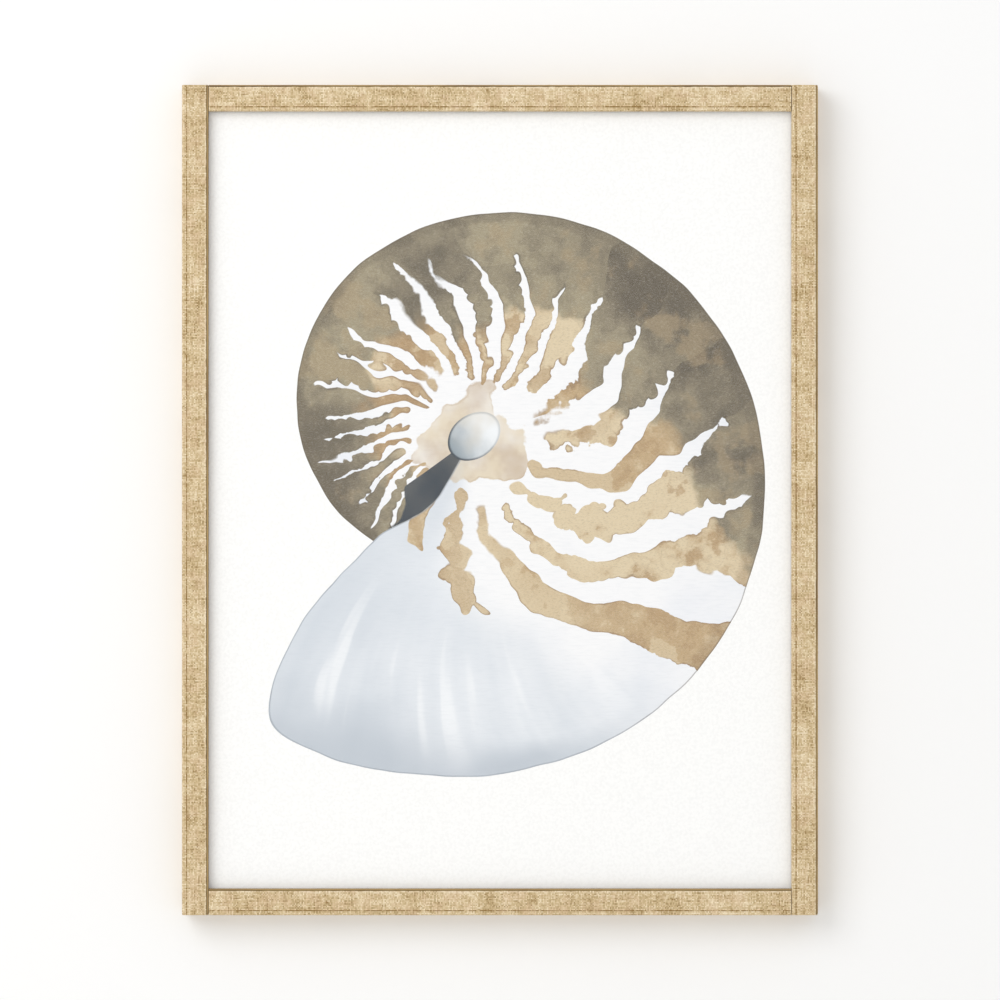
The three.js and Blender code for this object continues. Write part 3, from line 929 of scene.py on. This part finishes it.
def hardboardMaterial():
    material, shader, place = startMaterial("hardboard", 0.7)
    cloud = noise(place, 16.0, 4.0)
    speckle = noise(place, 900.0, 3.0, 0.7)
    shreds = smooth(noise(stretched(place, 260.0, 700.0, 900.0), 1.0, 3.0, 0.6), 0.6, 0.72)
    colour = blend(smooth(cloud, 0.3, 0.7), backBoards["smoothSide"], backBoards["smoothDark"])
    colour = blend(shreds * 0.5, colour, backBoards["fibre"])
    colour = blend(smooth(speckle, 0.58, 0.7) * 0.55, colour, paint(60, 38, 24))
    scuffs = smooth(noise(stretched(place, 14.0, 14.0, 90.0), 1.0, 4.0, 0.7), 0.66, 0.78)
    plug(shader.inputs["Base Color"], blend(scuffs * 0.3, colour, paint(170, 134, 98)))
    plug(shader.inputs["Roughness"], 0.56 + 0.3 * cloud)
    addBump(shader, speckle * 0.6 + shreds * 0.4, 0.00015, 0.6)
    return material


def mountBoardMaterial():
    material, shader, place = startMaterial("mountBoard", 0.92)
    pulp = noise(place, 800.0, 3.0, 0.6)
    cloud = noise(place, 14.0, 3.0)
    colour = blend(smooth(cloud, 0.3, 0.7) * 0.4, backBoards["boardWhite"], backBoards["boardCore"])
    plug(shader.inputs["Base Color"], blend(smooth(pulp, 0.5, 0.8) * 0.3, colour, paint(196, 184, 160)))
    addBump(shader, pulp, 0.0001, 0.4)
    return material


softened("mountBoard", "mount_board", backBoards["easedEdge"], mountBoardMaterial())
softened("backingBoard", "backing_board", backBoards["easedEdge"], hardboardMaterial())


print("points and hanger")
metalFittings = {
    "pointEdge": 0.00012,
    "hangerEdge": 0.00018,
    "headRounding": 6,
    "headThickness": 0.0007,
    "shankRadius": 0.0008,
    "tipLength": 0.002,
    "sides": 32,
}


def metalMaterial(name, bright, dull, spots, roughness):
    material, shader, place = startMaterial(name, roughness, 1.0)
    rolled = noise(stretched(place, 90.0, 300.0, 1500.0), 1.0, 3.0, 0.6)
    cloud = noise(place, 130.0, 3.0)
    tarnish = smooth(noise(place, 420.0, 4.0, 0.65), 0.6, 0.74)
    colour = blend(smooth(cloud, 0.3, 0.7), bright, dull)
    plug(shader.inputs["Base Color"], blend(tarnish * 0.55, colour, spots))
    plug(shader.inputs["Roughness"], roughness + 0.22 * (rolled - 0.3) + 0.25 * tarnish)
    addBump(shader, rolled, 0.00005, 0.5)
    return material


steel = metalMaterial("pointSteel", paint(186, 188, 190), paint(150, 153, 157), paint(104, 92, 80), 0.36)
brassed = metalMaterial("brassedSteel", paint(212, 180, 108), paint(178, 146, 82), paint(110, 88, 52), 0.32)
pointCounts = {"left_stile": 4, "right_stile": 4, "top_rail": 3, "bottom_rail": 3}
for batten, count in pointCounts.items():
    side, kind = batten.split("_")
    for number in range(1, count + 1):
        softened(f"{side}{kind.title()}Point{number}", f"{batten}_point_{number}", metalFittings["pointEdge"],
                 steel)
softened("sawtoothHanger", "sawtooth_hanger", metalFittings["hangerEdge"], brassed)


def makeHangerNail(number):
    # a domed head on a plain shank
    node = f"hanger_nail_{number}"
    low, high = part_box(node)
    length, headRadius = high.y - low.y, (high.x - low.x) / 2
    headShare = metalFittings["headThickness"] / length
    shank, tip = metalFittings["shankRadius"], metalFittings["tipLength"] / length
    profile = [(0, 0), (shank, tip), (shank, 1 - headShare), (headRadius, 1 - headShare)]
    steps = metalFittings["headRounding"]
    for step in range(steps + 1):
        angle = math.pi / 2 * step / steps
        profile.append((headRadius * math.cos(angle * 0.999), 1 - headShare * 0.7 * (1 - math.sin(angle))))
    profile[-1] = (0, 1)
    roundBetween(f"hangerNail{number}", node, profile, metalFittings["sides"], brassed,
                 Vector((0, 1, 0)))


makeHangerNail(1)
makeHangerNail(2)


print("bumpers")
rubberBumpers = {
    "rounding": 0.0014,
    "steps": 8,
    "sides": 48,
    "dimple": 0.0003,
}


def rubberMaterial():
    material, shader, place = startMaterial("rubber", 0.78)
    dust = smooth(noise(place, 600.0, 3.0, 0.6), 0.56, 0.72)
    tone = noise(place, 150.0, 2.0)
    colour = blend(smooth(tone, 0.3, 0.7), paint(38, 37, 36), paint(50, 48, 46))
    plug(shader.inputs["Base Color"], blend(dust * 0.35, colour, paint(112, 108, 102)))
    plug(shader.inputs["Roughness"], 0.7 + 0.2 * dust)
    addBump(shader, noise(place, 1500.0, 2.0), 0.00006, 0.6)
    return material


def makeBumper(side, rubber):
    node = side + "_bumper"
    low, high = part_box(node)
    height, radius = high.y - low.y, (high.z - low.z) / 2
    rounding, steps = rubberBumpers["rounding"], rubberBumpers["steps"]
    profile = [(0, 0), (radius, 0)]
    for step in range(steps + 1):
        angle = math.pi / 2 * step / steps
        profile.append((radius - rounding * (1 - math.cos(angle)),
                        1 - rounding * (1 - math.sin(angle)) / height))
    profile += [(radius * 0.5, 1), (radius * 0.3, 1 - rubberBumpers["dimple"] / height),
                (0, 1 - rubberBumpers["dimple"] / height)]
    roundBetween(side + "Bumper", node, profile, rubberBumpers["sides"], rubber,
                 Vector((0, 1, 0)))


rubber = rubberMaterial()
makeBumper("left", rubber)
makeBumper("right", rubber)


print("wall, floor and lights")
studio = {
    "wallReach": 2.4,
    "wallWhite": 0.923,
    "wallShade": 0.917,       # in the plaster's small hollows
    "wallGlow": 0.03,         # lifts the wall to plain white, and leaves the shadow round the frame
    "floorBelow": 1.1,        # under the frame's middle
    "worldLevel": 0.82,
    "keyPlace": (-1.9, -2.6, 1.5),    # from the middle of the frame's front
    "keySize": 2.2,
    "keyPower": 41.0,
    "backPlace": (-0.9, 2.8, 1.0),
    "backSize": 2.0,
    "backPower": 45.0,
}


def makeWall():
    material, shader, place = startMaterial("wall", 0.95)
    nodes, links = material.node_tree.nodes, material.node_tree.links
    plaster = noise(place, 240.0, 3.0)
    white = (studio["wallWhite"],) * 3 + (1.0,)
    shaded = (studio["wallShade"],) * 3 + (1.0,)
    plug(shader.inputs["Base Color"], blend(plaster, shaded, white))
    shader.inputs["Emission Color"].default_value = (1.0, 1.0, 1.0, 1.0)
    shader.inputs["Emission Strength"].default_value = studio["wallGlow"]
    shader.inputs["Specular IOR Level"].default_value = 0.0
    side = nodes.new("ShaderNodeNewGeometry")
    clear = nodes.new("ShaderNodeBsdfTransparent")
    either = nodes.new("ShaderNodeMixShader")
    links.new(side.outputs["Backfacing"], either.inputs[0])
    links.new(shader.outputs[0], either.inputs[1])
    links.new(clear.outputs[0], either.inputs[2])
    links.new(either.outputs[0], nodes["Material Output"].inputs["Surface"])
    bm = bmesh.new()
    bmesh.ops.create_grid(bm, x_segments=4, y_segments=4, size=studio["wallReach"])
    height = middle.z - studio["floorBelow"] + studio["wallReach"]
    for vert in bm.verts:
        vert.co = Vector((vert.co.x, 0.0002, height + vert.co.y))
    bmesh.ops.recalc_face_normals(bm, faces=bm.faces)
    if sum(face.normal.y for face in bm.faces) > 0:
        bmesh.ops.reverse_faces(bm, faces=bm.faces)
    wall = stageObject("wall", bm, material)
    wall.visible_shadow = False
    wall.visible_diffuse = False
    wall.visible_glossy = False


def makeFloor():
    material, shader, place = startMaterial("paleFloor", 0.8)
    tone = noise(place, 6.0, 3.0)
    plug(shader.inputs["Base Color"], blend(tone, paint(236, 235, 232), paint(226, 225, 221)))
    bm = bmesh.new()
    bmesh.ops.create_grid(bm, x_segments=4, y_segments=4, size=studio["wallReach"])
    floorPlace = Vector((0, -studio["wallReach"], middle.z - studio["floorBelow"]))
    bmesh.ops.translate(bm, verts=bm.verts, vec=floorPlace)
    stageObject("floor", bm, material)


def stageObject(name, bm, material):
    mesh = bpy.data.meshes.new(name)
    bm.to_mesh(mesh)
    bm.free()
    obj = bpy.data.objects.new(name, mesh)
    mesh.materials.append(material)
    bpy.context.scene.collection.objects.link(obj)
    obj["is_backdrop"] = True
    return obj


def softLight(name, offset, size, power):
    data = bpy.data.lights.new(name, "AREA")
    data.size = size
    data.energy = power
    light = bpy.data.objects.new(name, data)
    light.location = middle + Vector(offset)
    light.rotation_euler = (-Vector(offset)).to_track_quat("-Z", "Y").to_euler()
    light.visible_camera = False
    bpy.context.scene.collection.objects.link(light)


makeWall()
makeFloor()
softLight("keyLight", studio["keyPlace"], studio["keySize"], studio["keyPower"])
softLight("backLight", studio["backPlace"], studio["backSize"], studio["backPower"])
world = bpy.data.worlds.new("paleRoom")
world.use_nodes = True
world.node_tree.nodes["Background"].inputs["Color"].default_value = (1.0, 1.0, 1.0, 1.0)
world.node_tree.nodes["Background"].inputs["Strength"].default_value = studio["worldLevel"]
bpy.context.scene.world = world
bpy.context.scene.view_settings.view_transform = "Standard"

lowCorner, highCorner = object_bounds()
